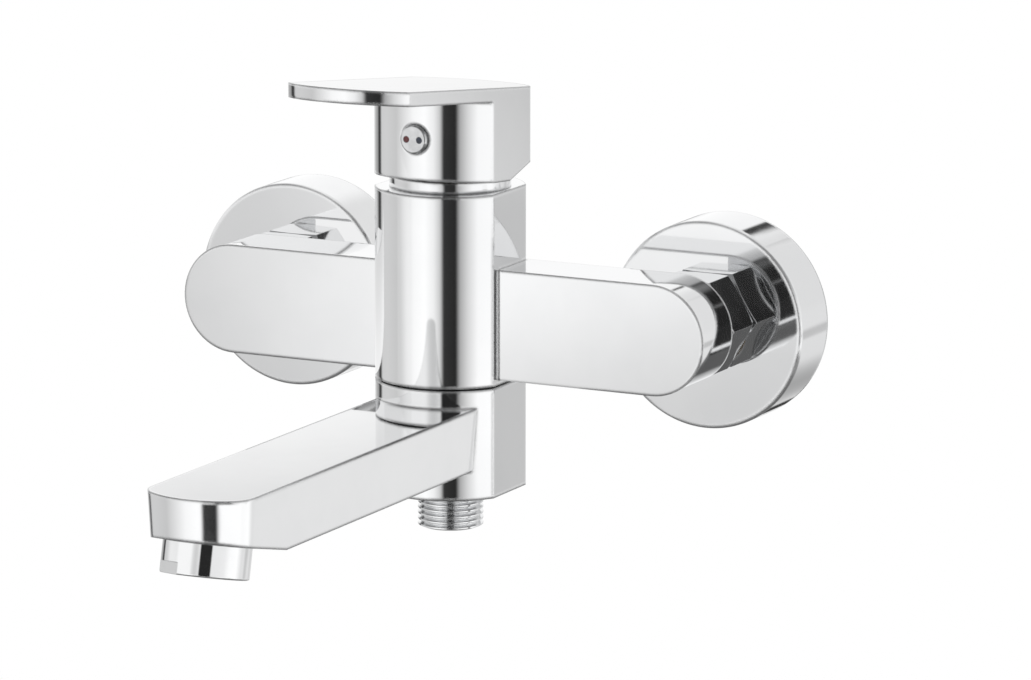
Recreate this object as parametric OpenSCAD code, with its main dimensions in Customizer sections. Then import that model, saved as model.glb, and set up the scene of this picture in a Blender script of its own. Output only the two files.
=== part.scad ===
// Wall mounted bath faucet: a flat bar valve body on two wall unions, a single lever on a 35 mm ceramic
// cartridge, and a lower block that swivels with a flat spout above a threaded hose outlet.
// Millimetres. Origin: the wall face midway between the two inlet axes. +Y goes into the wall, -Y toward the
// user, +X to the user's right, +Z up.

/* [Wall connection] */
// Distance between the two inlet axes
inlet_spacing = 150; // [140:1:165]
// Length of pipe thread that goes into the wall fitting
wall_thread_length = 14; // [10:1:20]
// Outside diameter of the round cover plates
escutcheon_diameter = 67; // [60:1:72]
// Depth of the cover plates from the wall to their front face
escutcheon_depth = 20.2; // [18:0.2:26]
// How far the cover plates hang below the inlet axes, because their holes have play
escutcheon_sag = 2; // [0.5:0.25:2.5]
// Sheet thickness of the cover plates
escutcheon_wall = 1.5; // [1:0.1:2]
// Distance from the cover plate's front face to the back of the crossbar, filled by the union nut
union_length = 17.5; // [17:0.5:24]
// Width of the union nut across its flats
union_nut_across_flats = 30; // [29:0.5:34]

/* [Valve body] */
// Height of the crossbar; its ends are half circles of this diameter
bar_height = 35.4; // [33:0.2:38]
// Front to back depth of the crossbar
bar_depth = 21.7; // [21:0.1:24]
// How far the column's axis lies in front of the crossbar's mid depth
column_lead = 2.75; // [2:0.25:3.5]
// Radius of the column's front and back
column_radius = 24; // [23.5:0.25:26]
// Width of the column across its two side flats
column_width = 42.4; // [41.6:0.2:44]
// Height of the column's top face above the inlet axes
column_top = 42.2; // [41:0.2:50]
// Depth of the column's bottom face below the inlet axes
column_drop = 19.3; // [19:0.1:24]
// Outside radius of the collar on top of the column
collar_radius = 19.4; // [18.8:0.1:19.6]
// Height of the collar
collar_height = 4; // [3:0.25:4.5]

/* [Handle] */
// Distance from the column's axis to the tip of the lever
handle_reach = 77.5; // [65:0.5:95]
// Height of the lever plate's top above the column's top, at the column's axis
handle_rise = 32.7; // [30:0.1:38]
// Thickness of the lever plate
handle_plate = 4.6; // [3:0.1:5.5]
// Upward slope of the lever toward the user
handle_slope = 6.8; // [4:0.2:10]
// Gap between handle and column at the column's axis
handle_gap = 2.8; // [2.6:0.1:3.4]
// Slope of the handle's lower edge in front of the column's axis
handle_edge_slope = 5.2; // [3:0.2:8]
// Relief angle under the back of the handle, which lets it tilt
handle_relief = 15.5; // [15:0.25:24]
// How far the handle's back arc lies behind the column's
handle_back = 3; // [2:0.5:4]
// Radius of the arc at the lever's tip
handle_nose_radius = 27; // [23:0.5:40]
// Diameter of the index button
button_diameter = 9.25; // [7:0.25:10]
// How far the index button stands out of the handle
button_stand = 1.5; // [0.9:0.1:2]

/* [Spout] */
// Distance from the column's axis to the tip of the spout
spout_reach = 170.5; // [140:0.5:200]
// Width of the spout's top
spout_width = 35.6; // [34:0.2:38]
// Thickness of the spout
spout_thickness = 20.3; // [19.4:0.1:22]
// How far the spout's top lies below the top of the lower block
spout_step = 5.8; // [4.6:0.1:7]
// Radius of the arc across the spout's tip
spout_nose_radius = 26; // [24:0.5:40]
// Radius of the corners between that arc and the spout's sides
spout_corner_radius = 9; // [7:0.5:11]
// Draft of the spout's sides and tip, narrower below
spout_draft = 3; // [1:0.25:4]
// How far the lower block reaches below the spout's underside
block_skirt = 9.4; // [8.2:0.1:14]
// Visible gap between the column and the lower block
seam_gap = 0.6; // [0.5:0.05:1]
// Distance from the spout's tip back to the middle of the outlet
outlet_setback = 13.8; // [13.8:0.2:18]
// Forward tilt of the water outlet
outlet_tilt = 13; // [8:0.5:14]
// Outside diameter of the outlet housing
aerator_diameter = 27; // [26.6:0.1:28]
// Visible length of the outlet housing
aerator_length = 10; // [8:0.5:13]
// Length of the hose thread below the lower block
hose_thread_length = 12.9; // [10:0.1:16]

/* [Motion] */
// How far the spout block turns each way
swivel_range = 60; // [45:5:75]

/* [Hidden] */
$fn = 96;

// Standard sizes
half_inch_radius = 10.4775;      // G 1/2 crest
half_inch_root = 9.3155;
half_inch_pitch = 1.814;
three_quarter_radius = 13.2205;  // G 3/4 crest
eps = 0.01;

// Fits
running_gap = 0.05;   // radial, between turning or sliding pieces
thread_gap = 0.1;     // radial, between a male and a female thread
body_gap = 0.3;       // between pieces that must not touch
through = 200;        // length of a cut that passes right through a piece
crease = 3;           // smallest angle at which two curved faces may meet

// Depths measured from the wall
plate_y = -escutcheon_depth;
bar_back = plate_y - union_length;
bar_front = bar_back - bar_depth;
bar_mid = (bar_back + bar_front) / 2;
axis_y = bar_mid - column_lead;
inlet_x = inlet_spacing / 2;

// Wall connection
union_shank = 11.65;
union_bore = 7.5;
union_hex_radius = 12.7;
nut_back = body_gap;                  // gap between nut and cover plate
thread_end = union_length - 8.3;      // from the cover plate's face to the union's end
nut_shoulder = union_length - 3.4;
nut_length = union_length - 0.7 - nut_back;
nut_chamfer = 1.2;
nipple_neck = 9;
nipple_collar = 12.2;
nipple_bore = 9.3;
nipple_depth = 9;
nipple_way = 6.5;
washer_height = 2;
collar_start = union_length - 3.7;
filter_sheet = 0.6;
filter_pitch = 2.5;
filter_hole = 1.7;
plate_edge = 1;                       // rounding of the cover plates' rims

// Waterways in the valve body
channel_radius = 5.5;
floor_wall = 3.5;
port_x = 7.2;
port_radius = 3.2;
mix_y = 7.6;

// Dome collar
collar_inner = 15;
collar_edge = 0.5;

// Cartridge, 35 mm
cartridge_radius = 17.5;
cartridge_stack = 32.2;            // from the chamber floor to the column's top
floor_z = column_top - cartridge_stack;
chamber_radius = cartridge_radius + 0.2;
nut_bore_radius = 18.2;
base_top = floor_z + 5;
fixed_disc_top = base_top + 3;
moving_disc_bottom = fixed_disc_top + running_gap;
moving_disc_top = moving_disc_bottom + 3;
carrier_top = moving_disc_top + 6;
shoulder_z = floor_z + 23;
neck_top = shoulder_z + 8;
housing_inner = 15.2;
neck_inner = 12;
rotor_top = neck_top + 3;
pivot_z = floor_z + 30;
tail_z = moving_disc_top + 3.2;
tail_arm = pivot_z - tail_z;
rotor_slot = 8.6;
pin_radius = 1.5;
peg_x = 9;
peg_y = 11;
peg_radius = 1.8;
peg_depth = 2.2;
seal_height = 1.4;
seal_width = 1.5;
port_places = [[-port_x, column_lead], [port_x, column_lead], [0, -mix_y]];
moving_disc_radius = 12;
carrier_radius = 11.6;
tail_radius = 2.4;
tail_width = 6;
tail_neck = 3;                        // thinner than the tail, so that it clears the carrier at full lift
guide_half = 8;
stem_hub = 4;
nut_face = column_top - 0.7;
nut_slots_radius = 16.2;
lever_lift = 20;
carrier_travel = tail_arm * sin(lever_lift);
carrier_rest = carrier_travel / 2;  // behind the axis when closed

// Swivel
seat_z = -(channel_radius + floor_wall);          // ceiling of the swivel socket
socket_radius = 15;
neck_radius = socket_radius - running_gap;
core_flange = 1.8;
neck_z = seat_z - core_flange - body_gap;         // top of the block's neck
block_top = -column_drop - seam_gap;
core_radius = 10;
core_bore = core_radius + running_gap;
screw_z = neck_z - 2.4;
retaining_screw_radius = 2.45;
screw_tip_radius = 1.2;
screw_tip = 2;
screw_thread = 7;
groove_radius = 12.8;
hex_key_radius = 1.45;
glide_edge = 0.4;                     // how far the glide ring stays inside the column's flats
spout_top = block_top - spout_step;
spout_bottom = spout_top - spout_thickness;
block_bottom = spout_bottom - block_skirt;
block_height = block_top - block_bottom;
tip_y = axis_y - spout_reach;
outlet_y = tip_y + outlet_setback;
spout_skin = 3.5;
way_top = spout_top - spout_skin;
way_bottom = spout_bottom + spout_skin;
core_bottom = way_bottom - 3;
hose_floor = core_bottom - body_gap;
nipple_top = block_bottom + 5.5;
hose_way_radius = 13.6;
hose_way_turn = 24;                   // degrees of one hose way
hose_drop_radius = 7.6;
hose_seat_radius = 11;
hose_bore = 6;

// Hose outlet check valve
valve_radius = 7.5;
valve_bottom = block_bottom - hose_thread_length + 3.2;
valve_length = 14;
valve_lip = 2;
valve_seat = valve_bottom + valve_length - valve_lip;
valve_bore = 6.3;
valve_mouth = 4.2;
poppet_radius = 5.2;
poppet_head = 1.8;
poppet_stem = 1.25;
guide_height = 1.6;
valve_travel = 3;
spring_wire = 0.4;
spring_coil = 3.1;
spring_turns = 4;

// Spout underside: flat, then rising toward the tip at the outlet's tilt
knee_y = tip_y + 32;
function underside(y) = spout_bottom + max(0, knee_y - y) * tan(outlet_tilt);
outlet_z = underside(outlet_y);
aerator_thread_radius = 12;
aerator_thread_depth = 6.4;
aerator_edge = 0.6;
spanner_depth = 1.5;
spanner_height = 3.7;
spanner_turn = 54;                    // places one spanner flat at the front left
insert_radius = 10.3;
insert_setback = 1.4;
insert_wall = 1;
insert_pitch = 3.1;
insert_web = 0.7;
screen_pitch = 2;
screen_hole = 1.3;

// Spout tip in plan, from the column's axis: a wide front arc and two corners. Neighbouring faces cross at
// the crease angle.
draft = tan(spout_draft);
corner_x = spout_width / 2 - spout_corner_radius * cos(crease);
corner_reach = sqrt(pow(spout_nose_radius - spout_corner_radius, 2)
  + 2 * spout_nose_radius * spout_corner_radius * (1 - cos(crease)));
corner_y = -spout_reach + spout_nose_radius - sqrt(pow(corner_reach, 2) - pow(corner_x, 2));
corner_side = corner_x / corner_reach;  // sine of the direction in which arc and corner meet

// Handle
handle_low = column_top + handle_gap;
handle_top = column_top + handle_rise;
slope = tan(handle_slope);
edge_slope = tan(handle_edge_slope);
relief = tan(handle_relief);
handle_side_wall = 1.2;
handle_front_wall = 2.6;
cavity_top = column_top + 22.9;
boss_z = column_top + 13.4;
set_screw_radius = 2.45;
set_screw_length = 9;
button_z = column_top + 18.1;
button_depth = 3;
button_edge = 0.8;
button_pilot = 3;
mark_offset = 2.25;
mark_radius = 1;
mark_depth = 0.4;
stem_size = 8;
stem_top = column_top + 22.5;
boss_half = 6.5;

// ---------------------------------------------------------------- shared shapes

// Plan of column, lower block and handle: a circle cut by two side flats
module column_plan(radius, width) {
  intersection() {
    circle(r = radius);
    square([width, 3 * radius], center = true);
  }
}

// Put a shape drawn along +Z onto an inlet axis, pointing at the user
module on_inlet(side, y) {
  translate([side * inlet_x, y, 0]) rotate([90, 0, 0]) children();
}

// Put a shape drawn along +Z onto the column's axis
module on_column(z) {
  translate([0, axis_y, z]) children();
}

module ring(outer, inner, height) {
  difference() {
    cylinder(r = outer, h = height);
    translate([0, 0, -eps]) cylinder(r = inner, h = height + 2 * eps);
  }
}

// Round ridges at thread pitch: crest bands with sloped flanks
module thread_ridges(crest, root, pitch, length) {
  turns = floor(length / pitch);
  rotate_extrude() polygon(concat([[0, 0]],
    [for (i = [0 : turns - 1]) each [
      [root, i * pitch],
      [crest, i * pitch + 0.32 * pitch],
      [crest, i * pitch + 0.58 * pitch],
      [root, i * pitch + 0.9 * pitch]]],
    [[root, length], [0, length]]));
}

// ---------------------------------------------------------------- valve body

module bar_face(height) {
  square([inlet_spacing, height], center = true);
  for (side = [-1, 1]) translate([side * inlet_x, 0]) circle(d = height);
}

module valve_body() {
  color("silver") difference() {
    union() {
      on_column(-column_drop) linear_extrude(column_top + column_drop)
        column_plan(column_radius, column_width);
      translate([0, bar_back, 0]) rotate([90, 0, 0]) linear_extrude(bar_depth) bar_face(bar_height);
    }
    // Cartridge chamber with its wider threaded mouth
    on_column(floor_z) cylinder(r = chamber_radius, h = cartridge_stack + 1);
    on_column(shoulder_z) cylinder(r = nut_bore_radius, h = cartridge_stack);
    // Hot and cold ways along the bar, and up to the chamber floor
    for (side = [-1, 1]) {
      translate([side * (port_x - port_radius), bar_mid, 0]) rotate([0, side * 90, 0])
        cylinder(r = channel_radius, h = inlet_x - port_x + port_radius);
      translate([side * port_x, bar_mid, 0]) cylinder(r = port_radius, h = floor_z + 1);
      on_inlet(side, bar_back + 1) cylinder(r = nipple_bore, h = nipple_depth + 1);
      translate([side * peg_x, axis_y - peg_y, floor_z - peg_depth - body_gap])
        cylinder(r = peg_radius + 0.1, h = peg_depth + 1);
    }
    // Mixed water down to the swivel socket
    translate([0, axis_y - mix_y, seat_z - 1]) cylinder(r = port_radius, h = floor_z - seat_z + 2);
    on_column(-column_drop - 1) cylinder(r = socket_radius, h = seat_z + column_drop + 1);
    // Threaded hole for the swivel's retaining screw, at the back
    translate([0, axis_y + socket_radius - 1, screw_z]) rotate([-90, 0, 0])
      cylinder(r = retaining_screw_radius + 0.05, h = column_radius);
  }
}

module dome_collar() {
  color("silver") on_column(column_top) rotate_extrude() difference() {
    union() {
      translate([collar_inner, 0]) square([collar_radius - collar_inner, collar_height - collar_edge]);
      translate([collar_inner, collar_height - collar_edge - eps])
        square([collar_radius - collar_inner - collar_edge, collar_edge + eps]);
      translate([collar_radius - collar_edge, collar_height - collar_edge]) circle(r = collar_edge);
      translate([collar_inner, -0.5]) square([nut_bore_radius - thread_gap - collar_inner, 0.5 + eps]);
    }
    translate([collar_inner - 1, collar_height - 1.2]) square([1.4, 1.3]);
  }
}

module swivel_retaining_screw() {
  color("dimgray") translate([0, axis_y + groove_radius + body_gap, screw_z]) rotate([-90, 0, 0]) difference() {
    union() {
      cylinder(r = screw_tip_radius, h = screw_tip + 1);
      translate([0, 0, socket_radius - groove_radius])
        cylinder(r = retaining_screw_radius, h = screw_thread);
    }
    translate([0, 0, socket_radius - groove_radius + screw_thread - 2.6])
      cylinder(r = hex_key_radius, h = screw_thread, $fn = 6);
  }
}

// ---------------------------------------------------------------- cartridge

module cartridge_base() {
  color("whitesmoke") on_column(0) difference() {
    union() {
      translate([0, 0, floor_z + 0.2]) cylinder(r = cartridge_radius, h = base_top - floor_z - 0.2);
      for (side = [-1, 1]) translate([side * peg_x, -peg_y, floor_z - peg_depth])
        cylinder(r = peg_radius, h = peg_depth + 1);
    }
    for (p = port_places) translate([p[0], p[1], floor_z - 1]) {
      cylinder(r = port_radius, h = cartridge_stack);
      cylinder(r = port_radius + seal_width + 0.1, h = seal_height + 1);
    }
  }
}

module cartridge_base_seals() {
  color("black") on_column(floor_z)
    for (p = port_places) translate([p[0], p[1], 0]) ring(port_radius + seal_width, port_radius + 0.1, seal_height);
}

module fixed_ceramic_disc() {
  color("white") on_column(base_top) difference() {
    cylinder(r = housing_inner - 0.2, h = fixed_disc_top - base_top);
    for (p = port_places) translate([p[0], p[1], -1])
      cylinder(r = port_radius - 0.2, h = cartridge_stack);
  }
}

module moving_ceramic_disc() {
  color("white") translate([0, axis_y + carrier_rest, moving_disc_bottom]) difference() {
    cylinder(r = moving_disc_radius, h = moving_disc_top - moving_disc_bottom);
    translate([0, 0, -1]) linear_extrude(2.6) {
      square([7, 9], center = true);
      translate([0, -4.5]) circle(r = 3.5);
    }
  }
}

module disc_carrier() {
  slot = 2 * tail_radius + 0.5;
  color("dimgray") translate([0, axis_y + carrier_rest, moving_disc_top]) difference() {
    linear_extrude(carrier_top - moving_disc_top) intersection() {
      circle(r = carrier_radius);
      square([2 * guide_half - 0.2, 3 * carrier_radius], center = true);
    }
    translate([-tail_width / 2 - body_gap, -carrier_rest - slot / 2, 0.5])
      cube([tail_width + 2 * body_gap, slot, carrier_top - moving_disc_top]);
  }
}

module cartridge_rotor() {
  guide_top = carrier_top + body_gap;
  guide_bottom = moving_disc_top + 0.6;
  color("gainsboro") on_column(0) difference() {
    union() {
      translate([0, 0, guide_bottom]) cylinder(r = housing_inner - 0.1, h = shoulder_z - 2 - body_gap - guide_bottom);
      translate([0, 0, guide_bottom + 1]) cylinder(r = neck_inner - running_gap, h = rotor_top - guide_bottom - 1);
    }
    // Straight guide in which the disc carrier slides
    translate([-guide_half, -2 * guide_half - neck_inner, guide_bottom - 1])
      cube([2 * guide_half, 4 * guide_half + 2 * neck_inner, guide_top - guide_bottom + 1]);
    // Slot for the lever
    translate([-stem_size / 2 - body_gap, -rotor_slot, guide_bottom])
      cube([stem_size + 2 * body_gap, 2 * rotor_slot, 2 * cartridge_stack]);
    translate([0, 0, pivot_z]) rotate([0, 90, 0]) cylinder(r = pin_radius + 0.02, h = through, center = true);
  }
}

module lever_pin() {
  color("silver") translate([-neck_inner + 0.8, axis_y, pivot_z]) rotate([0, 90, 0])
    cylinder(r = pin_radius, h = 2 * neck_inner - 1.6);
}

module lever_stem() {
  color("tan") translate([0, axis_y, 0]) difference() {
    union() {
      translate([-stem_size / 2, -stem_size / 2, pivot_z]) cube([stem_size, stem_size, stem_top - pivot_z]);
      translate([-stem_size / 2, 0, pivot_z]) rotate([0, 90, 0]) cylinder(r = stem_hub, h = stem_size);
      translate([-tail_width / 2, -tail_neck / 2, tail_z]) cube([tail_width, tail_neck, tail_arm]);
      translate([-tail_width / 2, 0, tail_z]) rotate([0, 90, 0]) cylinder(r = tail_radius, h = tail_width);
    }
    translate([0, 0, pivot_z]) rotate([0, 90, 0])
      cylinder(r = pin_radius + running_gap, h = through, center = true);
  }
}

module cartridge_housing() {
  color("whitesmoke") on_column(0) difference() {
    union() {
      translate([0, 0, base_top]) cylinder(r = cartridge_radius, h = shoulder_z - base_top);
      translate([0, 0, shoulder_z - 1]) cylinder(r = neck_inner + 1.4, h = neck_top - shoulder_z + 1);
    }
    translate([0, 0, base_top - 1]) cylinder(r = housing_inner, h = shoulder_z - 2 - base_top + 1);
    translate([0, 0, base_top]) cylinder(r = neck_inner, h = 2 * cartridge_stack);
  }
}

module cartridge_retaining_nut() {
  color("darkgoldenrod") on_column(shoulder_z) difference() {
    cylinder(r = nut_bore_radius - thread_gap, h = nut_face - shoulder_z);
    translate([0, 0, -1]) cylinder(r = neck_inner + 1.7, h = cartridge_stack);
    for (a = [0 : 60 : 300]) rotate([0, 0, a]) translate([nut_slots_radius, 0, nut_face - shoulder_z - 2])
      cube([2.2, 4, 5], center = true);
  }
}

// ---------------------------------------------------------------- handle

// Side outline of the handle between two heights at the axis. The top slopes up toward the user; the
// underside has its own rise in front of the axis and behind it.
module handle_side(low, high, front_rise, back_rise) {
  front = handle_reach + 5;
  back = column_radius + handle_back + 5;
  rotate([90, 0, 90]) translate([0, 0, -column_width]) linear_extrude(2 * column_width) polygon([
    [-front, low + front * front_rise], [0, low], [back, low + back * back_rise],
    [back, high - back * slope], [-front, high + front * slope]]);
}

module handle_body_plan(radius, width) {
  intersection() {
    union() {
      circle(r = radius);
      translate([0, handle_back]) circle(r = radius);
      translate([-radius, 0]) square([2 * radius, handle_back]);
    }
    square([width, 4 * radius], center = true);
  }
}

module handle_plate_plan() {
  intersection() {
    union() {
      translate([0, -handle_reach + handle_nose_radius]) circle(r = handle_nose_radius);
      translate([-column_width / 2, -handle_reach + handle_nose_radius])
        square([column_width, handle_reach - handle_nose_radius]);
      handle_body_plan(column_radius, column_width);
    }
    translate([-column_width / 2, -handle_reach - 1]) square([column_width, 2 * handle_reach]);
  }
}

module handle() {
  color("silver") translate([0, axis_y, 0]) difference() {
    union() {
      intersection() {
        linear_extrude(through) handle_plate_plan();
        handle_side(handle_top - handle_plate, handle_top, slope, -slope);
      }
      difference() {
        intersection() {
          linear_extrude(through) handle_body_plan(column_radius, column_width);
          handle_side(handle_low, handle_top - handle_plate / 2, edge_slope, relief);
        }
        // Hollow underside, leaving the boss that grips the stem
        difference() {
          translate([0, 0, column_top - 10]) linear_extrude(cavity_top - column_top + 10)
            handle_body_plan(column_radius - handle_front_wall, column_width - 2 * handle_side_wall);
          translate([-boss_half, -column_radius, boss_z])
            cube([2 * boss_half, column_radius + boss_half, handle_rise]);
        }
      }
    }
    translate([0, 0, boss_z - 1]) linear_extrude(stem_top - boss_z + 1.1)
      square(stem_size + 0.2, center = true);
    translate([0, 0, button_z]) rotate([90, 0, 0]) cylinder(r = set_screw_radius + 0.05, h = through);
    translate([0, -column_radius + button_depth, button_z]) rotate([90, 0, 0])
      cylinder(r = button_diameter / 2 + 0.1, h = 4 * button_depth);
  }
}

module handle_set_screw() {
  color("dimgray") translate([0, axis_y - stem_size / 2, button_z]) rotate([90, 0, 0]) difference() {
    cylinder(r = set_screw_radius, h = set_screw_length);
    translate([0, 0, set_screw_length - 3]) cylinder(r = hex_key_radius, h = set_screw_length, $fn = 6);
  }
}

module index_button() {
  radius = button_diameter / 2;
  length = button_depth + button_stand;
  color("silver") translate([0, axis_y - column_radius + button_depth, button_z]) rotate([90, 0, 0])
    difference() {
      union() {
        rotate_extrude() {
          square([radius - button_edge, length]);
          square([radius, length - button_edge]);
          translate([radius - button_edge, length - button_edge]) circle(r = button_edge);
        }
        translate([0, 0, -button_pilot]) cylinder(r = set_screw_radius - 0.2, h = button_pilot + 0.5);
      }
      for (side = [-1, 1]) translate([side * mark_offset, 0, length - mark_depth])
        cylinder(r = mark_radius + 0.02, h = 2);
    }
}

module index_mark(side) {
  translate([side * mark_offset, axis_y - column_radius - button_stand + mark_depth, button_z])
    rotate([90, 0, 0]) cylinder(r = mark_radius, h = mark_depth - 0.05);
}

module hot_mark() {
  color("red") index_mark(-1);
}

module cold_mark() {
  color("blue") index_mark(1);
}

// ---------------------------------------------------------------- wall connection

module wall_union(side) {
  color("darkgoldenrod") difference() {
    union() {
      on_inlet(side, wall_thread_length)
        thread_ridges(half_inch_radius, half_inch_root, half_inch_pitch, wall_thread_length);
      on_inlet(side, 0) cylinder(r = half_inch_root, h = 4);
      on_inlet(side, -2) cylinder(r = union_hex_radius, h = 9, $fn = 6);
      on_inlet(side, -8) cylinder(r = union_shank, h = escutcheon_depth - 8 + 1);
      on_inlet(side, plate_y - nut_back) cylinder(r = three_quarter_radius, h = thread_end - nut_back);
    }
    on_inlet(side, wall_thread_length + 1) cylinder(r = union_bore, h = through);
  }
}

module wall_union_left() {
  wall_union(-1);
}

module wall_union_right() {
  wall_union(1);
}

module union_nut(side) {
  inscribed = union_nut_across_flats / 2;
  corner = inscribed / cos(30);
  color("silver") on_inlet(side, plate_y - nut_back) difference() {
    intersection() {
      cylinder(r = corner, h = nut_length, $fn = 6);
      // Chamfered corners at both ends
      rotate_extrude() polygon([[0, 0], [inscribed - 0.2, 0], [corner, nut_chamfer],
        [corner, nut_length - nut_chamfer - 0.2], [inscribed - 0.4, nut_length], [0, nut_length]]);
    }
    translate([0, 0, -1]) cylinder(r = three_quarter_radius + thread_gap, h = nut_shoulder - nut_back + 1);
    cylinder(r = nipple_neck + 0.4, h = through);
  }
}

module union_nut_left() {
  union_nut(-1);
}

module union_nut_right() {
  union_nut(1);
}

module inlet_nipple(side) {
  collar_face = thread_end + washer_height;
  color("darkgoldenrod") on_inlet(side, plate_y - collar_face) difference() {
    union() {
      cylinder(r = nipple_collar, h = collar_start - collar_face);
      cylinder(r = nipple_neck, h = union_length - collar_face);
      translate([0, 0, union_length - collar_face - eps]) cylinder(r = nipple_bore - 0.03, h = nipple_depth - 0.3);
    }
    translate([0, 0, -1]) cylinder(r = nipple_way, h = through);
  }
}

module inlet_nipple_left() {
  inlet_nipple(-1);
}

module inlet_nipple_right() {
  inlet_nipple(1);
}

module filter_washer(side) {
  color("black") on_inlet(side, plate_y - thread_end) {
    ring(nipple_collar, union_bore, washer_height);
    translate([0, 0, (washer_height - filter_sheet) / 2]) difference() {
      cylinder(r = union_bore + eps, h = filter_sheet);
      for (i = [-2 : 2]) for (j = [-2 : 2])
        if (i * i + j * j < 7) translate([i * filter_pitch, j * filter_pitch, 0])
          cube([filter_hole, filter_hole, 4 * filter_sheet], center = true);
    }
  }
}

module filter_washer_left() {
  filter_washer(-1);
}

module filter_washer_right() {
  filter_washer(1);
}

module escutcheon(side) {
  radius = escutcheon_diameter / 2;
  hole = max(three_quarter_radius + 0.4, union_shank + escutcheon_sag + 0.25);
  color("silver") translate([side * inlet_x, 0, -escutcheon_sag]) rotate([90, 0, 0]) rotate_extrude() difference() {
    union() {
      square([radius, escutcheon_depth - plate_edge]);
      square([radius - plate_edge, escutcheon_depth]);
      translate([radius - plate_edge, escutcheon_depth - plate_edge]) circle(r = plate_edge);
    }
    translate([-1, -1]) square([radius - escutcheon_wall + 1, escutcheon_depth - escutcheon_wall + 1]);
    square([hole, through]);
  }
}

module escutcheon_left() {
  escutcheon(-1);
}

module escutcheon_right() {
  escutcheon(1);
}

// ---------------------------------------------------------------- swivel block and spout

// A straight bar with drafted sides, of the given half width at the spout's top
module drafted_bar(half, narrowing) {
  top = half + narrowing;
  bottom = half - (spout_thickness + 1) * narrowing;
  translate([0, 10, 0]) rotate([90, 0, 0]) linear_extrude(spout_reach + 20) polygon([
    [-top, spout_top + 1], [top, spout_top + 1], [bottom, spout_bottom - 1], [-bottom, spout_bottom - 1]]);
}

module drafted_disc(radius) {
  translate([0, 0, spout_bottom - 1]) cylinder(r1 = radius - (spout_thickness + 1) * draft,
    r2 = radius + draft, h = spout_thickness + 2);
}

// The spout's sides and tip, before its top and underside are cut
module spout_outline() {
  intersection() {
    drafted_bar(spout_width / 2, draft);
    union() {
      translate([-spout_width, corner_y, spout_bottom - 2]) cube([2 * spout_width, through, spout_thickness + 4]);
      intersection() {
        translate([0, -spout_reach + spout_nose_radius, 0]) drafted_disc(spout_nose_radius);
        drafted_bar(corner_x + spout_corner_radius * corner_side, draft * corner_side);
      }
      for (side = [-1, 1]) translate([side * corner_x, corner_y, 0]) drafted_disc(spout_corner_radius);
    }
  }
}

module spout_side() {
  start = 10;
  far = spout_reach + 10;
  rotate([90, 0, 90]) translate([0, 0, -spout_width]) linear_extrude(2 * spout_width) polygon([
    [start - 1, spout_top], [-far, spout_top], [-far, underside(axis_y - far)],
    [knee_y - axis_y, spout_bottom], [start - 1, spout_bottom]]);
}

// Put a shape drawn along +Z at the outlet; -Z is the way the water leaves
module at_outlet() {
  translate([0, outlet_y, outlet_z]) rotate([-outlet_tilt, 0, 0]) children();
}

module spout_body() {
  channel_half = spout_width / 2 - 4.4;
  port_half = 5;
  seal_z = block_top + 1.7;
  color("silver") difference() {
    union() {
      on_column(block_bottom) linear_extrude(block_height) column_plan(column_radius, column_width);
      on_column(block_top - 1) cylinder(r = neck_radius, h = neck_z - block_top + 1);
      on_column(0) intersection() {
        spout_outline();
        spout_side();
      }
    }
    // Bore for the diverter core, and the ways below it to the hose outlet
    on_column(hose_floor) cylinder(r = core_bore, h = through);
    on_column(nipple_top - 1) cylinder(r = hose_drop_radius, h = hose_floor - nipple_top + 2);
    on_column(block_bottom - 1) cylinder(r = hose_seat_radius + 0.1, h = nipple_top - block_bottom + 1);
    for (side = [-1, 1]) on_column(hose_floor - 2)
      rotate([0, 0, -90 + side * swivel_range - hose_way_turn / 2]) rotate_extrude(angle = hose_way_turn)
        translate([hose_bore, 0]) square([hose_way_radius - hose_bore, way_top - hose_floor + 1]);
    // Groove for the swivel seal and the part-turn groove for the retaining screw
    on_column(seal_z) ring(neck_radius + 1, neck_radius - 1.6, 2);
    on_column(screw_z - screw_tip_radius - 0.3) rotate([0, 0, 90 - swivel_range - 7])
      rotate_extrude(angle = 2 * swivel_range + 14)
        translate([groove_radius, 0]) square([socket_radius - groove_radius + 1, 2 * screw_tip_radius + 0.6]);
    // Waterway along the spout
    translate([-port_half, axis_y - 18, way_bottom + 0.5]) cube([2 * port_half, 10, way_top - way_bottom - 1]);
    translate([-channel_half, knee_y, way_bottom])
      cube([2 * channel_half, axis_y - 17 - knee_y, way_top - way_bottom]);
    translate([-channel_half, outlet_y, way_top - 4.6])
      cube([2 * channel_half, knee_y - outlet_y + 1, 4.6]);
    // Threaded outlet seat, open to the waterway
    at_outlet() translate([0, 0, -5]) cylinder(r = aerator_thread_radius + thread_gap, h = 5 + aerator_thread_depth + 0.8);
    at_outlet() cylinder(r = 9, h = aerator_thread_depth + 3);
  }
}

module swivel_glide_ring() {
  color("black") on_column(block_top) ring(column_width / 2 - glide_edge, neck_radius + 0.15, seam_gap - 0.1);
}

module swivel_seal() {
  color("black") on_column(block_top + 1.75) ring(neck_radius - 0.02, neck_radius - 1.55, 1.9);
}

module diverter_core() {
  window_half = 4;
  color("darkgoldenrod") on_column(0) difference() {
    union() {
      translate([0, 0, core_bottom]) cylinder(r = core_radius, h = seat_z - core_bottom);
      translate([0, 0, seat_z - core_flange]) cylinder(r = socket_radius - 0.1, h = core_flange);
      translate([0, -mix_y, seat_z - 1]) cylinder(r = port_radius - 0.1, h = 5);
    }
    // Bore from the mixed water port, ending at the window toward the spout
    translate([0, 0, way_bottom]) cylinder(r = 6.6, h = seat_z - 1.5 - way_bottom);
    translate([0, -mix_y, seat_z - 6]) cylinder(r = port_radius - 0.9, h = 12);
    translate([-window_half, -core_radius - 1, way_bottom + 1]) cube([2 * window_half, 8, way_top - way_bottom - 2]);
    translate([0, 0, core_bottom + 1.1]) ring(core_radius + 1, core_radius - 1.1, 1.5);
  }
}

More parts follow.
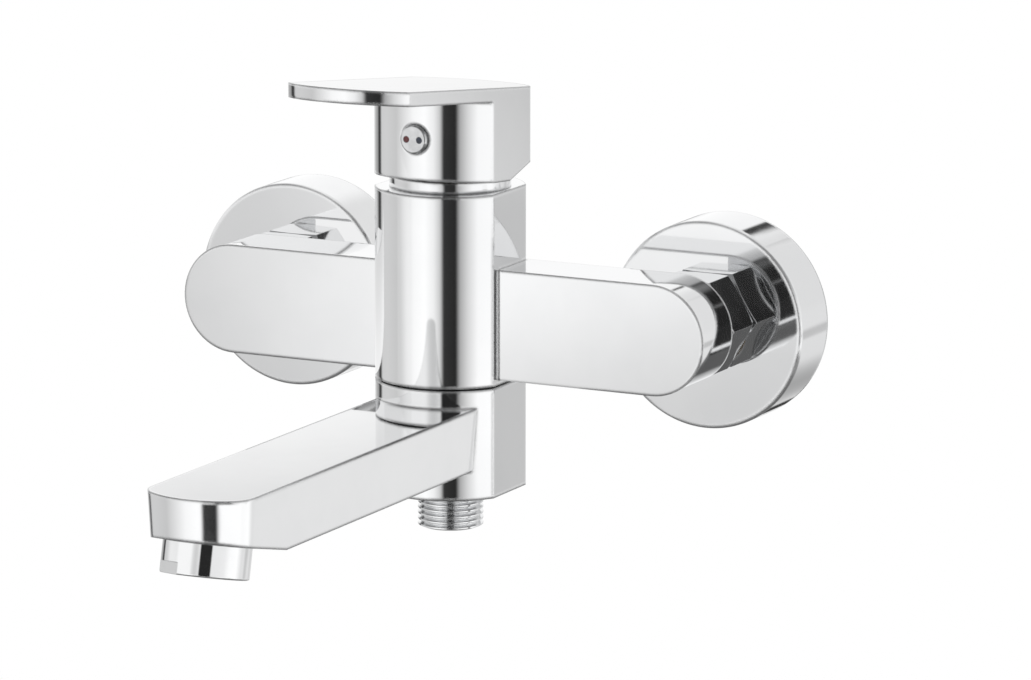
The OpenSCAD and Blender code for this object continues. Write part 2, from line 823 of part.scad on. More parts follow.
module diverter_core_seal() {
  color("black") on_column(core_bottom + 1.15) ring(core_radius + 0.03, core_radius - 1.05, 1.4);
}

module hose_nipple() {
  color("silver") on_column(block_bottom - hose_thread_length) difference() {
    union() {
      thread_ridges(half_inch_radius, half_inch_root, half_inch_pitch, hose_thread_length + eps);
      translate([0, 0, hose_thread_length]) cylinder(r = hose_seat_radius, h = nipple_top - block_bottom);
    }
    translate([0, 0, -1]) cylinder(r = hose_bore, h = through);
    translate([0, 0, valve_bottom - block_bottom + hose_thread_length])
      cylinder(r = valve_radius + 0.05, h = through);
  }
}

// ---------------------------------------------------------------- hose outlet check valve

module check_valve_body() {
  color("whitesmoke") on_column(valve_bottom) difference() {
    cylinder(r = valve_radius, h = valve_length);
    translate([0, 0, valve_length - valve_lip - 1]) cylinder(r = valve_mouth, h = valve_length);
    translate([0, 0, guide_height]) cylinder(r = valve_bore, h = valve_length - valve_lip - guide_height);
    // Guide with three openings round a hub
    translate([0, 0, -1]) cylinder(r = poppet_stem + running_gap, h = 5);
    for (a = [90, 210, 330]) rotate([0, 0, a - 45]) translate([0, 0, -1]) rotate_extrude(angle = 90)
      translate([2.6, 0]) square([2.6, 5]);
  }
}

module check_valve_poppet() {
  color("white") on_column(0) {
    translate([0, 0, valve_seat - 0.05 - poppet_head]) cylinder(r = poppet_radius, h = poppet_head);
    translate([0, 0, valve_bottom - 0.4])
      cylinder(r = poppet_stem, h = valve_seat - valve_bottom - poppet_head + 0.5);
  }
}

// Round wire wound as a helix, closed at both ends
module check_valve_spring() {
  low = valve_bottom + guide_height + 0.02 + spring_wire;
  high = valve_seat - 0.05 - poppet_head - 0.02 - spring_wire;
  steps = 22;
  sides = 8;
  count = spring_turns * steps;
  rows = [for (i = [0 : count]) let (a = 360 * i / steps, z = low + (high - low) * i / count)
    for (k = [0 : sides - 1]) let (b = 360 * k / sides)
      [(spring_coil + spring_wire * cos(b)) * cos(a), (spring_coil + spring_wire * cos(b)) * sin(a),
        z + spring_wire * sin(b)]];
  skin = [for (i = [0 : count - 1]) for (k = [0 : sides - 1])
    [i * sides + k, (i + 1) * sides + k, (i + 1) * sides + (k + 1) % sides, i * sides + (k + 1) % sides]];
  color("silver") on_column(0) polyhedron(points = rows,
    faces = concat(skin, [[for (k = [0 : sides - 1]) k],
      [for (k = [0 : sides - 1]) count * sides + sides - 1 - k]]));
}

// ---------------------------------------------------------------- outlet housing

module aerator_housing() {
  radius = aerator_diameter / 2;
  color("silver") at_outlet() difference() {
    union() {
      translate([0, 0, -aerator_length]) rotate_extrude() {
        square([radius - aerator_edge, aerator_length - 0.05]);
        translate([0, aerator_edge]) square([radius, aerator_length - aerator_edge - 0.05]);
        translate([radius - aerator_edge, aerator_edge]) circle(r = aerator_edge);
      }
      translate([0, 0, -0.1]) cylinder(r = aerator_thread_radius, h = aerator_thread_depth + 0.1);
    }
    translate([0, 0, -aerator_length - 1]) cylinder(r = insert_radius + 0.1, h = through);
    // Two flats for the spanner
    for (turn = [0, 180]) rotate([0, 0, turn + spanner_turn])
      translate([-radius - 1, -radius, -aerator_length - 1])
        cube([spanner_depth + 1, 2 * radius, spanner_height + 1]);
  }
}

module aerator_insert() {
  depth = aerator_length - insert_setback + aerator_thread_depth - 1;
  hole = insert_pitch - insert_web;
  color("whitesmoke") at_outlet() translate([0, 0, -aerator_length + insert_setback]) difference() {
    cylinder(r = insert_radius, h = depth);
    translate([0, 0, 3]) cylinder(r = insert_radius - insert_wall, h = depth);
    for (i = [-3 : 3]) for (j = [-3 : 3])
      if (i * i + j * j < 9) translate([i * insert_pitch, j * insert_pitch, 0])
        cube([hole, hole, 9], center = true);
  }
}

module aerator_screen() {
  color("gray") at_outlet() translate([0, 0, aerator_thread_depth - 1]) difference() {
    cylinder(r = insert_radius, h = 1);
    translate([0, 0, 0.4]) cylinder(r = insert_radius - 1.2, h = 2);
    for (i = [-4 : 4]) for (j = [-4 : 4])
      if (i * i + j * j < 17) translate([i * screen_pitch, j * screen_pitch, 0])
        cube([screen_hole, screen_hole, 3], center = true);
  }
}

module aerator_gasket() {
  color("black") at_outlet() translate([0, 0, aerator_thread_depth]) ring(aerator_thread_radius - 0.1, 9.2, 0.8);
}

// ---------------------------------------------------------------- drawing

valve_body();
dome_collar();
cartridge_retaining_nut();
cartridge_housing();
cartridge_base();
cartridge_base_seals();
fixed_ceramic_disc();
moving_ceramic_disc();
disc_carrier();
cartridge_rotor();
lever_pin();
lever_stem();
handle();
handle_set_screw();
index_button();
hot_mark();
cold_mark();
wall_union_left();
wall_union_right();
union_nut_left();
union_nut_right();
inlet_nipple_left();
inlet_nipple_right();
filter_washer_left();
filter_washer_right();
escutcheon_left();
escutcheon_right();
swivel_retaining_screw();
diverter_core();
diverter_core_seal();
spout_body();
swivel_seal();
swivel_glide_ring();
hose_nipple();
check_valve_body();
check_valve_poppet();
check_valve_spring();
aerator_housing();
aerator_insert();
aerator_screen();
aerator_gasket();
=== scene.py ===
"""Wall mounted bath faucet: looks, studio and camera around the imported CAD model. Metres."""
import math

import bmesh
import bpy
from mathutils import Matrix, Vector


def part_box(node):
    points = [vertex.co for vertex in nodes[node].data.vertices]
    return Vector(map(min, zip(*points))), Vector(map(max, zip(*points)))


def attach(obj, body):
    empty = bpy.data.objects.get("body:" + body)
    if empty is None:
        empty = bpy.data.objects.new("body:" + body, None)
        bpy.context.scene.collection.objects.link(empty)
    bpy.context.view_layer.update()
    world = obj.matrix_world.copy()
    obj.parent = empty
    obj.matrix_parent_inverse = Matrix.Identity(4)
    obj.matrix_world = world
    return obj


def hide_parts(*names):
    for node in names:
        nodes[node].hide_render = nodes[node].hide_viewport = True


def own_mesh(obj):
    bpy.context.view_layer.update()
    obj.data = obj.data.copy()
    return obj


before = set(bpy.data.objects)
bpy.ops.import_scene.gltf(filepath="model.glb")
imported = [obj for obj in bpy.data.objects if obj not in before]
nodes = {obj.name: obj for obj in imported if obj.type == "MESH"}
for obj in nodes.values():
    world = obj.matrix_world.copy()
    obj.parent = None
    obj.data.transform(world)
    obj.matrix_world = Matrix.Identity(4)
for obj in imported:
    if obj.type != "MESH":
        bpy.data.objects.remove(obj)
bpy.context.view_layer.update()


# ---------------------------------------------------------------- node helpers
def linear(value):
    """A screen grey from 0 to 1 as scene-linear light."""
    return value / 12.92 if value <= 0.04045 else ((value + 0.055) / 1.055) ** 2.4


def new_tree(name):
    """A new material with an empty node tree."""
    mat = bpy.data.materials.new(name)
    mat.use_nodes = True
    tree = mat.node_tree
    tree.nodes.clear()
    return mat, tree


def add(tree, kind, **values):
    """A new node with some of its settings given."""
    node = tree.nodes.new(kind)
    for key, value in values.items():
        setattr(node, key, value)
    return node


def math_node(tree, operation, first, second=None):
    """A math node over one or two values, each a number or an output."""
    node = add(tree, "ShaderNodeMath", operation=operation)
    for index, value in enumerate((first, second)):
        if value is None:
            continue
        if isinstance(value, (int, float)):
            node.inputs[index].default_value = value
        else:
            tree.links.new(value, node.inputs[index])
    return node.outputs[0]


def noise(tree, scale, detail=3.0, rough=0.55, stretch=(1.0, 1.0, 1.0)):
    """Noise in the piece's own coordinates."""
    coords = add(tree, "ShaderNodeTexCoord")
    place = add(tree, "ShaderNodeMapping")
    place.inputs["Scale"].default_value = stretch
    tree.links.new(coords.outputs["Object"], place.inputs["Vector"])
    made = add(tree, "ShaderNodeTexNoise")
    made.inputs["Scale"].default_value = scale
    made.inputs["Detail"].default_value = detail
    made.inputs["Roughness"].default_value = rough
    tree.links.new(place.outputs["Vector"], made.inputs["Vector"])
    return made.outputs["Fac"]


def spread(tree, source, low, high, start=0.35, stop=0.65):
    """The part of a noise between start and stop, as a value from low to high."""
    made = add(tree, "ShaderNodeMapRange", interpolation_type="SMOOTHSTEP")
    for socket, value in (("From Min", start), ("From Max", stop), ("To Min", low), ("To Max", high)):
        made.inputs[socket].default_value = value
    tree.links.new(source, made.inputs["Value"])
    return made.outputs["Result"]


def two_tone(tree, factor, first, second):
    """The first colour where the factor is 0 and the second where it is 1."""
    made = add(tree, "ShaderNodeMix", data_type="RGBA")
    tree.links.new(factor, made.inputs["Factor"])
    made.inputs["A"].default_value = (*first, 1.0)
    made.inputs["B"].default_value = (*second, 1.0)
    return made.outputs["Result"]


# Dot products of the rounded and the true direction: up to the first an edge has its full painted shade, from
# the second on it has none
EDGE_MATCH = (0.8, 0.98)
# How many times finer the roughness varies than the colour
WEAR_FINENESS = 2.3


def rounded(tree, radius):
    """The surface direction with edges rounded by a radius, and how far it turns there, from 0 to 1."""
    rounding = add(tree, "ShaderNodeBevel", samples=6)
    rounding.inputs["Radius"].default_value = radius
    true = add(tree, "ShaderNodeNewGeometry")
    match = add(tree, "ShaderNodeVectorMath", operation="DOT_PRODUCT")
    tree.links.new(rounding.outputs["Normal"], match.inputs[0])
    tree.links.new(true.outputs["True Normal"], match.inputs[1])
    size = math_node(tree, "ABSOLUTE", match.outputs["Value"])
    return rounding.outputs["Normal"], spread(tree, size, 1.0, 0.0, *EDGE_MATCH)


def relief(tree, height, strength, distance, base):
    """Bump from a height, over a surface direction."""
    bump = add(tree, "ShaderNodeBump")
    bump.inputs["Strength"].default_value = strength
    bump.inputs["Distance"].default_value = distance
    tree.links.new(height, bump.inputs["Height"])
    tree.links.new(base, bump.inputs["Normal"])
    return bump.outputs["Normal"]


def surface(name, first, second, rough, tone_scale, bump_scale, bump, edge, metallic=0.0, depth=0.00002,
            stretch=(1.0, 1.0, 1.0), painted_edge_shade=1.0):
    """A principled material whose colour, roughness and relief all come from noise. Its edges are rounded by
    the radius edge, and the last argument multiplies its colour there: a painted shade that draws dark
    outlines."""
    mat, tree = new_tree(name)
    out = add(tree, "ShaderNodeOutputMaterial")
    shader = add(tree, "ShaderNodeBsdfPrincipled")
    tree.links.new(shader.outputs["BSDF"], out.inputs["Surface"])
    shader.inputs["Metallic"].default_value = metallic
    broad = noise(tree, tone_scale, 4.0, 0.6)
    colour = two_tone(tree, spread(tree, broad, 0.0, 1.0), first, second)
    direction, edges = rounded(tree, edge)
    # Painted shade: along the rounded edges the colour is multiplied down, drawing dark outlines on the metal
    if painted_edge_shade < 1.0:
        painted_shade_mix = add(tree, "ShaderNodeMix", data_type="RGBA", blend_type="MULTIPLY")
        tree.links.new(edges, painted_shade_mix.inputs["Factor"])
        tree.links.new(colour, painted_shade_mix.inputs["A"])
        painted_shade_mix.inputs["B"].default_value = (painted_edge_shade, painted_edge_shade, painted_edge_shade, 1.0)
        colour = painted_shade_mix.outputs["Result"]
    tree.links.new(colour, shader.inputs["Base Color"])
    wear = noise(tree, tone_scale * WEAR_FINENESS, 5.0)
    tree.links.new(spread(tree, wear, *rough), shader.inputs["Roughness"])
    fine = noise(tree, bump_scale, 4.0, 0.6, stretch)
    tree.links.new(relief(tree, fine, bump, depth, direction), shader.inputs["Normal"])
    return mat


# ---------------------------------------------------------------- materials
# Lengths are in metres and noise scales in cycles per metre
CASTING_EDGE = 0.0016  # radii of the rounded edges
SMALL_EDGE = 0.00035
TURNED_EDGE = 0.0001
# Painted shade along the chrome's rounded edges: its colour there is multiplied by this, drawing dark
# outlines
PAINTED_EDGE_SHADE = 0.36
CHROME_LIGHT = (0.825, 0.828, 0.832)
CHROME_DEEP = (0.79, 0.794, 0.80)
# The cover plates' chrome is a copy of the chrome, a touch dimmer in tone: a slight painted shade on the
# plates
PLATE_LIGHT = (0.815, 0.818, 0.823)
PLATE_DEEP = (0.775, 0.779, 0.785)
chrome = surface("polished_chrome", CHROME_LIGHT, CHROME_DEEP, rough=(0.025, 0.055), tone_scale=18.0,
                 bump_scale=60.0, bump=0.06, edge=CASTING_EDGE, metallic=1.0, painted_edge_shade=PAINTED_EDGE_SHADE)
shaded_plate_chrome = surface("polished_chrome_wall_plates", PLATE_LIGHT, PLATE_DEEP, rough=(0.03, 0.07),
                       tone_scale=14.0, bump_scale=60.0, bump=0.06, edge=CASTING_EDGE, metallic=1.0,
                       painted_edge_shade=PAINTED_EDGE_SHADE)
chrome_small = surface("polished_chrome_small_parts", CHROME_LIGHT, CHROME_DEEP, rough=(0.035, 0.08),
                       tone_scale=60.0, bump_scale=200.0, bump=0.08, edge=SMALL_EDGE, metallic=1.0)
chrome_button = surface("polished_chrome_button", (0.6, 0.604, 0.61), (0.5, 0.504, 0.51), rough=(0.05, 0.1),
                        tone_scale=240.0, bump_scale=200.0, bump=0.08, edge=SMALL_EDGE, metallic=1.0)
chrome_thread = surface("threaded_chrome", (0.80, 0.805, 0.81), (0.70, 0.705, 0.715), rough=(0.08, 0.2),
                        tone_scale=120.0, bump_scale=700.0, bump=0.15, edge=TURNED_EDGE, metallic=1.0,
                        depth=0.00003)
brass = surface("turned_brass", (0.78, 0.57, 0.28), (0.62, 0.43, 0.2), rough=(0.18, 0.36), tone_scale=150.0,
                bump_scale=900.0, bump=0.25, edge=TURNED_EDGE, metallic=1.0, depth=0.00003,
                stretch=(1.0, 1.0, 6.0))
stem_brass = surface("stem_brass", (0.74, 0.56, 0.31), (0.6, 0.44, 0.24), rough=(0.2, 0.4), tone_scale=200.0,
                     bump_scale=1200.0, bump=0.2, edge=TURNED_EDGE, metallic=1.0)
steel = surface("brushed_steel", (0.66, 0.66, 0.65), (0.52, 0.52, 0.52), rough=(0.2, 0.38), tone_scale=200.0,
                bump_scale=1400.0, bump=0.2, edge=TURNED_EDGE, metallic=1.0)
cartridge_plastic = surface("cartridge_plastic", (0.75, 0.76, 0.76), (0.67, 0.68, 0.69), rough=(0.35, 0.5),
                            tone_scale=90.0, bump_scale=1500.0, bump=0.12, edge=0.0002)
ceramic = surface("lapped_ceramic", (0.88, 0.87, 0.84), (0.82, 0.81, 0.78), rough=(0.1, 0.2),
                  tone_scale=140.0, bump_scale=2500.0, bump=0.06, edge=TURNED_EDGE, depth=0.00001)
rubber = surface("seal_rubber", (0.022, 0.022, 0.024), (0.035, 0.035, 0.037), rough=(0.5, 0.68),
                 tone_scale=160.0, bump_scale=2200.0, bump=0.3, edge=TURNED_EDGE, depth=0.00003)
glide = surface("glide_plastic", (0.02, 0.02, 0.021), (0.03, 0.03, 0.031), rough=(0.35, 0.5),
                tone_scale=120.0, bump_scale=1500.0, bump=0.1, edge=TURNED_EDGE)
white_plastic = surface("white_plastic", (0.84, 0.84, 0.83), (0.77, 0.77, 0.76), rough=(0.28, 0.42),
                        tone_scale=120.0, bump_scale=1500.0, bump=0.1, edge=TURNED_EDGE)
red = surface("hot_enamel", (0.12, 0.02, 0.022), (0.08, 0.014, 0.016), rough=(0.15, 0.28), tone_scale=700.0,
              bump_scale=3000.0, bump=0.1, edge=0.00005, depth=0.00001)
blue = surface("cold_enamel", (0.03, 0.038, 0.06), (0.02, 0.026, 0.042), rough=(0.15, 0.28), tone_scale=700.0,
               bump_scale=3000.0, bump=0.1, edge=0.00005, depth=0.00001)

# The finish for each CAD material, and the pieces whose chrome has a finish of its own
FINISH = {
    "chrome": chrome, "threaded_chrome": chrome_thread, "brass": brass, "stem_brass": stem_brass,
    "steel": steel, "cartridge_plastic": cartridge_plastic, "ceramic": ceramic, "seal_rubber": rubber,
    "glide_plastic": glide, "white_plastic": white_plastic, "hot_red": red, "cold_blue": blue,
}
OWN_CHROME = {
    "index_button": chrome_button, "aerator_housing": chrome_small, "union_nut_left": chrome_small,
    "union_nut_right": chrome_small, "escutcheon_left": shaded_plate_chrome, "escutcheon_right": shaded_plate_chrome,
}
for name, obj in nodes.items():
    for index, held in enumerate(obj.material_slots):
        slot_name = held.material.name.split(".")[0] if held.material else "chrome"
        held.material = FINISH.get(slot_name, chrome)
        if slot_name == "chrome" and name in OWN_CHROME:
            held.material = OWN_CHROME[name]


# ---------------------------------------------------------------- spring
def build_check_valve_coil():
    """The check valve's spring as a piece of its own, attached to the spout's body."""
    node = nodes["check_valve_spring"]
    coil = bpy.data.objects.new("check_valve_coil", node.data.copy())
    bpy.context.scene.collection.objects.link(coil)
    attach(coil, "spout")
    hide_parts("check_valve_spring")
    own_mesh(coil)


build_check_valve_coil()


# ---------------------------------------------------------------- studio
FLOOR_Z = -0.40
FLOOR_RADIUS = 1.2
FLOOR_FADE = (0.35, 0.98)  # shares of the radius
FLOOR_GREY = 0.93
SUBJECT = (0.0, -0.1, 0.0)  # the middle of the faucet, roughly


def build_floor():
    """A round white floor that fades out toward its rim and can't be seen from below or in the metal."""
    bm = bmesh.new()
    bmesh.ops.create_circle(bm, cap_ends=True, segments=96, radius=FLOOR_RADIUS)
    mesh = bpy.data.meshes.new("studio_floor")
    bm.to_mesh(mesh)
    bm.free()
    floor = bpy.data.objects.new("studio_floor", mesh)
    bpy.context.scene.collection.objects.link(floor)
    floor.location = (*SUBJECT[:2], FLOOR_Z)
    mat, tree = new_tree("studio_paper")
    out = add(tree, "ShaderNodeOutputMaterial")
    paper = add(tree, "ShaderNodeBsdfDiffuse")
    paper.inputs["Color"].default_value = (FLOOR_GREY, FLOOR_GREY, FLOOR_GREY, 1.0)
    clear = add(tree, "ShaderNodeBsdfTransparent")
    mix = add(tree, "ShaderNodeMixShader")
    coords = add(tree, "ShaderNodeTexCoord")
    length = add(tree, "ShaderNodeVectorMath", operation="LENGTH")
    tree.links.new(coords.outputs["Object"], length.inputs[0])
    fade = add(tree, "ShaderNodeMapRange", interpolation_type="SMOOTHSTEP")
    fade.inputs["From Min"].default_value = FLOOR_RADIUS * FLOOR_FADE[0]
    fade.inputs["From Max"].default_value = FLOOR_RADIUS * FLOOR_FADE[1]
    tree.links.new(length.outputs["Value"], fade.inputs["Value"])
    under = add(tree, "ShaderNodeNewGeometry")
    open_share = math_node(tree, "MAXIMUM", fade.outputs["Result"], under.outputs["Backfacing"])
    tree.links.new(open_share, mix.inputs["Fac"])
    tree.links.new(paper.outputs["BSDF"], mix.inputs[1])
    tree.links.new(clear.outputs["BSDF"], mix.inputs[2])
    tree.links.new(mix.outputs["Shader"], out.inputs["Surface"])
    mesh.materials.append(mat)
    floor.visible_glossy = False


# Greys that the polished metal sees around it below the horizon, by compass angle in degrees: 0 is straight
# in front of the faucet, 90 to its right. The dark panel from 17 to 36 is the unlit bay that the camera
# stands in.
STUDIO = (
    (-180, 0.80), (-160, 0.84), (-150, 0.92), (-128, 0.68), (-117, 0.58), (-112, 0.22), (-106, 0.24),
    (-101, 0.79), (-85, 0.8), (-62, 0.77), (-45, 0.88), (-30, 0.97), (-12, 1.0), (2, 0.94), (12, 0.78),
    (17, 0.2), (36, 0.15), (42, 0.66), (54, 0.84), (70, 0.98), (112, 1.0), (130, 0.87), (153, 0.88),
    (165, 0.86), (180, 0.78),
)
# Greys of the front half of the studio above the horizon, by the sine of the height angle
FRONT_SKY = ((0.0, 0.92), (0.27, 0.88), (0.5, 0.62), (0.78, 0.52), (0.9, 0.64), (0.97, 0.88), (1.0, 0.95))
# Patches laid over these greys: a range of compass angles, a range of heights (again as a sine) and a grey.
# The third number of a range is half the width of its soft edges.
TIP_HEIGHTS = (-0.345, -0.3, 0.01)
LOW_PATCHES = (
    ((143, 161, 6), (-0.242, -0.165, 0.012), 0.75),  # for the right-hand flats of the column and the block
    ((-158, -147, 3), (-0.26, -0.1, 0.03), 0.5),  # for outlines that the camera sees at a grazing angle
    ((91, 101, 1.5), (-0.25, -0.182, 0.006), 0.45),  # for the line between the column's round and its flat
    # The spout's tip leans, so it sees the studio lower down than the column does. There the bay stands
    # further left, in a white wall.
    ((15, 78, 6), TIP_HEIGHTS, 1.0),
    ((-5.5, 15.5, 3), TIP_HEIGHTS, 0.17),
)
# For the undersides of the union nuts and of the arms' ends
UNDER_ARM_PATCH = ((-4, 19, 3), (-0.53, -0.375, 0.02), 0.38)
HIGH_PATCHES = (
    ((-50, -8, 6), (0.0, 0.27, 0.03), 0.96),  # the lit left front
    ((-5, 9, 7), (0.09, 0.24, 0.03), 0.80),  # a grey beside the bay, for the outlet and the column's foot
    ((13, 43, 2), (-0.08, 0.3, 0.03), 0.15),  # the bay
    ((-8, 37, 2), (0.3, 0.46, 0.02), 0.15),  # its wider top
)
REAR_FLAGS = (
    ((-176, -168, 1), (0.405, 0.438, 0.005), 0.22),  # for the top of the right cover plate's rim
    ((-167, -159, 1), (-0.385, -0.305, 0.012), 0.22),  # for its bottom
)
# Steps from one grey to another, each from where it starts to where it is complete
LOW_STEPS = (((-0.36, -0.5), 0.56), ((-0.6, -0.72), 0.42))  # heights, for the greys toward the floor
HORIZON = (-0.05, 0.03)  # heights
REAR_FROM = (105, 128)  # degrees away from straight in front
REAR_GREY = 0.95
REAR_RIGHT_FROM = (130, 150)
REAR_RIGHT_SIDE = (-0.18, 0.06)  # the sideways part of the direction
REAR_RIGHT_GREY = 0.87
FILL_STRENGTH = 0.95
REFLECTANCE = 0.81  # of the chrome, roughly


def grey_ramp(tree, source, stops):
    """A ramp of screen greys, raised so that the chrome shows them at their own level."""
    ramp = add(tree, "ShaderNodeValToRGB")
    ramp.color_ramp.interpolation = "LINEAR"
    held = ramp.color_ramp.elements
    for index, (place, grey) in enumerate(stops):
        stop = held[index] if index < 2 else held.new(place)
        stop.position = place
        level = linear(grey) / REFLECTANCE
        stop.color = (level, level, level, 1.0)
    tree.links.new(source, ramp.inputs["Fac"])
    return ramp.outputs["Color"]


def step(tree, source, start, stop):
    """0 before start and 1 after stop, or the other way round when stop lies below start."""
    made = add(tree, "ShaderNodeMapRange", interpolation_type="SMOOTHSTEP")
    low, high = sorted((start, stop))
    for socket, value in (("From Min", low), ("From Max", high), ("To Min", float(start > stop)),
                          ("To Max", float(start < stop))):
        made.inputs[socket].default_value = value
    tree.links.new(source, made.inputs["Value"])
    return made.outputs["Result"]


def both(tree, first, second):
    """The product of two factors."""
    return math_node(tree, "MULTIPLY", first, second)


def window(tree, source, low, high, soft):
    """1 between low and high, with soft edges."""
    rise = step(tree, source, low - soft, low + soft)
    return both(tree, rise, step(tree, source, high + soft, high - soft))


def tint(tree, factor, base, other):
    """Base where the factor is 0 and other, a screen grey or a colour output, where it is 1."""
    made = add(tree, "ShaderNodeMix", data_type="RGBA")
    tree.links.new(factor, made.inputs["Factor"])
    tree.links.new(base, made.inputs["A"])
    if isinstance(other, float):
        level = linear(other) / REFLECTANCE
        made.inputs["B"].default_value = (level, level, level, 1.0)
    else:
        tree.links.new(other, made.inputs["B"])
    return made.outputs["Result"]


def build_world():
    """The studio that polished metal mirrors, a plain fill light for the rest, and a white backdrop."""
    world = bpy.data.worlds.new("studio")
    bpy.context.scene.world = world
    world.use_nodes = True
    tree = world.node_tree
    tree.nodes.clear()
    out = add(tree, "ShaderNodeOutputWorld")
    coords = add(tree, "ShaderNodeTexCoord")
    split = add(tree, "ShaderNodeSeparateXYZ")
    tree.links.new(coords.outputs["Generated"], split.inputs["Vector"])
    x, y, z = (split.outputs[axis] for axis in "XYZ")
    front = math_node(tree, "MULTIPLY", y, -1.0)
    turn = math_node(tree, "ARCTAN2", x, front)
    degrees = math_node(tree, "MULTIPLY", turn, 180 / math.pi)
    away = math_node(tree, "ABSOLUTE", degrees)
    share = math_node(tree, "MULTIPLY_ADD", turn, 1 / (2 * math.pi))
    share.node.inputs[2].default_value = 0.5

    def patched(base, angles, heights, grey):
        return tint(tree, both(tree, window(tree, degrees, *angles), window(tree, z, *heights)), base, grey)

    # Below the horizon
    (shade_from, shade_grey), (floor_from, floor_grey) = LOW_STEPS
    low = grey_ramp(tree, share, [((angle + 180) / 360, grey) for angle, grey in STUDIO])
    for patch in LOW_PATCHES:
        low = patched(low, *patch)
    low = tint(tree, step(tree, z, *shade_from), low, shade_grey)
    low = patched(low, *UNDER_ARM_PATCH)
    low = tint(tree, step(tree, z, *floor_from), low, floor_grey)
    # Above it: the front's greys with the bay in them, and a light rear that is a little greyer at the right
    height = math_node(tree, "MAXIMUM", z, 0.0)
    high = grey_ramp(tree, height, FRONT_SKY)
    for patch in HIGH_PATCHES:
        high = patched(high, *patch)
    high = tint(tree, step(tree, away, *REAR_FROM), high, REAR_GREY)
    rear_right = both(tree, step(tree, away, *REAR_RIGHT_FROM), step(tree, x, *REAR_RIGHT_SIDE))
    high = tint(tree, rear_right, high, REAR_RIGHT_GREY)
    around = tint(tree, step(tree, z, *HORIZON), low, high)
    for flag in REAR_FLAGS:
        around = patched(around, *flag)
    mirror = add(tree, "ShaderNodeBackground")
    tree.links.new(around, mirror.inputs["Color"])
    soft = add(tree, "ShaderNodeBackground")
    soft.inputs["Color"].default_value = (1.0, 1.0, 1.0, 1.0)
    soft.inputs["Strength"].default_value = FILL_STRENGTH
    white = add(tree, "ShaderNodeBackground")
    white.inputs["Color"].default_value = (1.0, 1.0, 1.0, 1.0)
    path = add(tree, "ShaderNodeLightPath")
    glossy = math_node(tree, "MAXIMUM", path.outputs["Is Glossy Ray"], path.outputs["Is Transmission Ray"])
    first = add(tree, "ShaderNodeMixShader")
    tree.links.new(glossy, first.inputs["Fac"])
    tree.links.new(soft.outputs["Background"], first.inputs[1])
    tree.links.new(mirror.outputs["Background"], first.inputs[2])
    second = add(tree, "ShaderNodeMixShader")
    tree.links.new(path.outputs["Is Camera Ray"], second.inputs["Fac"])
    tree.links.new(first.outputs["Shader"], second.inputs[1])
    tree.links.new(white.outputs["Background"], second.inputs[2])
    tree.links.new(second.outputs["Shader"], out.inputs["Surface"])


def bounce_card(name, corners, along, reach, greys):
    """A flat card that only polished metal sees, and only from its lit side. It goes from the first grey to
    the second between the two distances of reach, measured from the origin along the direction given."""
    mesh = bpy.data.meshes.new(name)
    mesh.from_pydata(corners, [], [tuple(range(len(corners)))])
    card = bpy.data.objects.new(name, mesh)
    bpy.context.scene.collection.objects.link(card)
    mat, tree = new_tree(name + "_paper")
    out = add(tree, "ShaderNodeOutputMaterial")
    lit = add(tree, "ShaderNodeEmission")
    coords = add(tree, "ShaderNodeTexCoord")
    distance = add(tree, "ShaderNodeVectorMath", operation="DOT_PRODUCT")
    tree.links.new(coords.outputs["Object"], distance.inputs[0])
    distance.inputs[1].default_value = along
    first, second = (linear(grey) / REFLECTANCE for grey in greys)
    fade = spread(tree, distance.outputs["Value"], first, second, *reach)
    level = math_node(tree, "MULTIPLY", fade, spread(tree, noise(tree, 12.0), 0.97, 1.0))
    tree.links.new(level, lit.inputs["Strength"])
    clear = add(tree, "ShaderNodeBsdfTransparent")
    facing = add(tree, "ShaderNodeNewGeometry")
    mix = add(tree, "ShaderNodeMixShader")
    tree.links.new(facing.outputs["Backfacing"], mix.inputs["Fac"])
    tree.links.new(lit.outputs["Emission"], mix.inputs[1])
    tree.links.new(clear.outputs["BSDF"], mix.inputs[2])
    tree.links.new(mix.outputs["Shader"], out.inputs["Surface"])
    mesh.materials.append(mat)
    card.visible_camera = False
    card.visible_diffuse = False
    card.visible_shadow = False
    card.visible_transmission = False


def side_card(name, x, depths, heights, **shade):
    """A bounce card across the X axis. It is lit toward the right when its depths run toward the user, else
    toward the left."""
    (start, stop), (low, high) = depths, heights
    corners = [(x, stop, low), (x, start, low), (x, start, high), (x, stop, high)]
    bounce_card(name, corners, **shade)


def face_card(name, y, sides, heights, **shade):
    """A bounce card across the Y axis. It is lit toward the wall when its sides run toward the right, else
    toward the user."""
    (start, stop), (low, high) = sides, heights
    corners = [(start, y, low), (start, y, high), (stop, y, high), (stop, y, low)]
    bounce_card(name, corners, **shade)


def area_lamp(name, place, size, watts):
    """A square lamp that points at the faucet and isn't seen in the metal."""
    lamp = bpy.data.lights.new(name, "AREA")
    lamp.shape = "SQUARE"
    lamp.size = size
    lamp.energy = watts
    obj = bpy.data.objects.new(name, lamp)
    bpy.context.scene.collection.objects.link(obj)
    obj.location = place
    obj.rotation_euler = (Vector(SUBJECT) - Vector(place)).to_track_quat("-Z", "Y").to_euler()
    obj.visible_glossy = False


build_floor()
build_world()

# ---------------------------------------------------------------- cards and lamps
# The cards imitate the photo's retouching, which hides most of what the faucet's pieces mirror of each other.
# Places and sizes are in metres; along, reach and greys are those of bounce_card.
ARM_DEPTH = 0.0217  # the arms from back to front
HAIR = 0.0003  # the gap between arm and union nut, and the smallest one between a card and the metal
PAST_SPOUT = 0.02  # how far the spout's card reaches past its tip and its underside
spout, plate, nut = (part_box(name) for name in ("spout_body", "escutcheon_right", "union_nut_right"))
arm_back = nut[0][1] - HAIR
arm_front = arm_back - ARM_DEPTH
column_side = spout[1][0]
inlet = (plate[0][0] + plate[1][0]) / 2
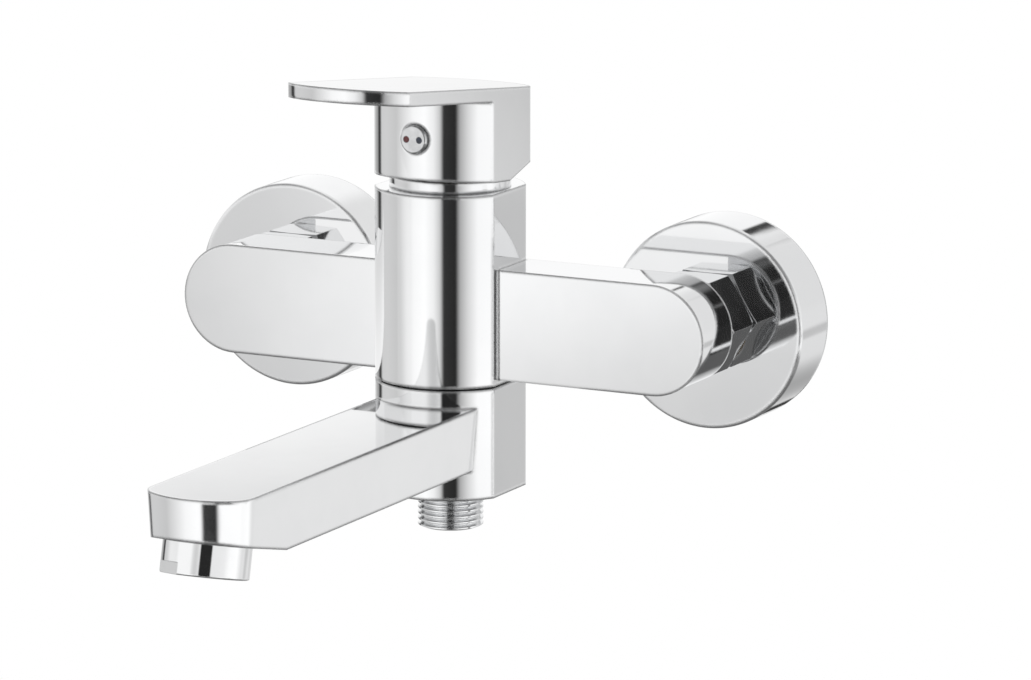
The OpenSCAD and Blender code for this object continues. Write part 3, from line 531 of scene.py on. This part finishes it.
# Beside the spout and the column, so that the right arm mirrors neither's dark side
side_card("spout_card", column_side + 2 * HAIR, depths=(arm_front - HAIR, spout[0][1] - PAST_SPOUT),
          heights=(spout[0][2] - PAST_SPOUT, 0.0178), along=(0.0, 0.09, -1.0), reach=(-0.035, 0.05),
          greys=(0.99, 0.83))
# At the rear right and lit toward the left, for the handle's right side
side_card("handle_card", 0.1, depths=(0.02, 0.145), heights=(0.012, 0.065), along=(0.0, 0.77, 0.63),
          reach=(0.01, 0.15), greys=(0.895, 0.75))
# Behind the two arms as far as the inlets, for their cover plates
for side, hand in ((1, "right"), (-1, "left")):
    face_card("back_card_" + hand, arm_back + 0.0004,
              sides=sorted((side * (column_side + 0.001), side * inlet)), heights=(-0.0172, 0.0172),
              along=(0.0, 0.0, 1.0), reach=(-0.02, 0.02), greys=(0.93, 0.95))
# Close in front of the left arm and lit toward the user, for the spout's top face
face_card("arm_front_card", arm_front - 0.002, sides=(-column_side - 0.0005, -0.12),
          heights=(-0.0195, 0.0185), along=(0.31, 0.0, 0.95), reach=(-0.06, 0.02), greys=(0.975, 0.825))
# In front at the left, for the left arm and its cover plate
face_card("front_card", -0.2, sides=(-0.23, -0.088), heights=(-0.1, 0.02), along=(-0.95, 0.0, -0.3),
          reach=(0.09, 0.21), greys=(0.935, 0.805))
area_lamp("overhead_softbox", place=(-0.3, -0.5, 1.6), size=1.2, watts=9.0)
area_lamp("left_softbox", place=(-1.4, -1.2, 0.7), size=1.0, watts=6.0)

# ---------------------------------------------------------------- camera
CAMERA_PLACE = (0.9250, -1.8262, 0.3946)
CAMERA_RIGHT = Vector((0.8921, 0.4519, 0.0011))
CAMERA_UP = Vector((-0.0899, 0.1752, 0.9804))
CAMERA_AHEAD = Vector((-0.4428, 0.8747, -0.1969))
SENSOR_MM = 36.0
LENS_MM = 223.8
SHIFT = (-0.0089, -0.0022)
cam = bpy.data.cameras.new("camera")
cam.sensor_fit = "HORIZONTAL"
cam.sensor_width = SENSOR_MM
cam.lens = LENS_MM
cam.shift_x, cam.shift_y = SHIFT
cam.clip_start = 0.01
camera = bpy.data.objects.new("camera", cam)
bpy.context.scene.collection.objects.link(camera)
basis = Matrix((CAMERA_RIGHT, CAMERA_UP, -CAMERA_AHEAD)).transposed().to_4x4()
camera.matrix_world = Matrix.Translation(CAMERA_PLACE) @ basis
scene = bpy.context.scene
scene.camera = camera
scene.view_settings.view_transform = "Standard"
